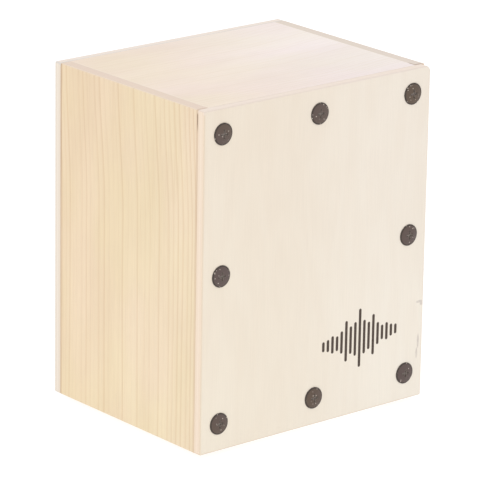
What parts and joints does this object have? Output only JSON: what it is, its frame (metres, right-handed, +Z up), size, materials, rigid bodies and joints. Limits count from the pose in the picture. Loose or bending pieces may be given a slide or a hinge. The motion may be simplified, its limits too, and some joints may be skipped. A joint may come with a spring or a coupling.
{
  "type": "cajon box drum",
  "caption": "Small upright wooden box drum with a screwed front playing panel, a rear sound hole, rubber feet and a snare bar inside that turns off the panel.",
  "frame": {"origin": "on the floor, under the middle of the box", "axes": "+Z up; the playing panel looks towards -Y; +X is to the right as seen from the front"},
  "size_m": [0.184, 0.1498, 0.2235],
  "materials": {
    "tapa_ply": "thin birch plywood, sanded, clear matt lacquer",
    "back_ply": "birch plywood, sanded, clear matt lacquer",
    "top_pine": "pale solid softwood, grain across, clear matt lacquer",
    "side_pine": "solid pine, upright straight grain, clear matt lacquer",
    "batten_pine": "sawn pine, unfinished",
    "beech": "turned beech, unfinished",
    "black_screw": "black oxide, slightly worn",
    "zinc_screw": "bright zinc plate",
    "plate_steel": "tinned steel",
    "wire_steel": "bright spring steel",
    "nylon": "natural nylon",
    "black_rubber": "moulded, matt"
  },
  "bodies": {
    "box": {"tapa": "tapa_ply", "back_panel": "back_ply", "top_board": "top_pine", "bottom_board": "side_pine", "left_side_board": "side_pine", "right_side_board": "side_pine", "front_top_rail": "batten_pine", "front_bottom_rail": "batten_pine", "front_left_stile": "batten_pine", "front_right_stile": "batten_pine", "rear_top_rail": "batten_pine", "rear_bottom_rail": "batten_pine", "rear_left_stile": "batten_pine", "rear_right_stile": "batten_pine", "top_left_glue_block": "batten_pine", "top_right_glue_block": "batten_pine", "bottom_left_glue_block": "batten_pine", "bottom_right_glue_block": "batten_pine", "tapa_screws": "black_screw", "front_left_foot": "black_rubber", "front_right_foot": "black_rubber", "rear_left_foot": "black_rubber", "rear_right_foot": "black_rubber", "foot_screws": "zinc_screw", "snare_bush_left": "nylon", "snare_bush_right": "nylon"},
    "snare": {"snare_bar": "beech", "snare_peg": "beech", "friction_ring_left": "black_rubber", "friction_ring_right": "black_rubber", "snare_plate_left": "plate_steel", "snare_plate_right": "plate_steel", "snare_strands_left": "wire_steel", "snare_strands_right": "wire_steel", "snare_plate_screws": "zinc_screw"}
  },
  "joints": [
    {"name": "snare_bar_turn", "type": "hinge", "parent": "box", "child": "snare", "pos_m": [0, -0.0596, 0.1735], "axis": [1, 0, 0], "range_deg": [0, 40]}
  ]
}
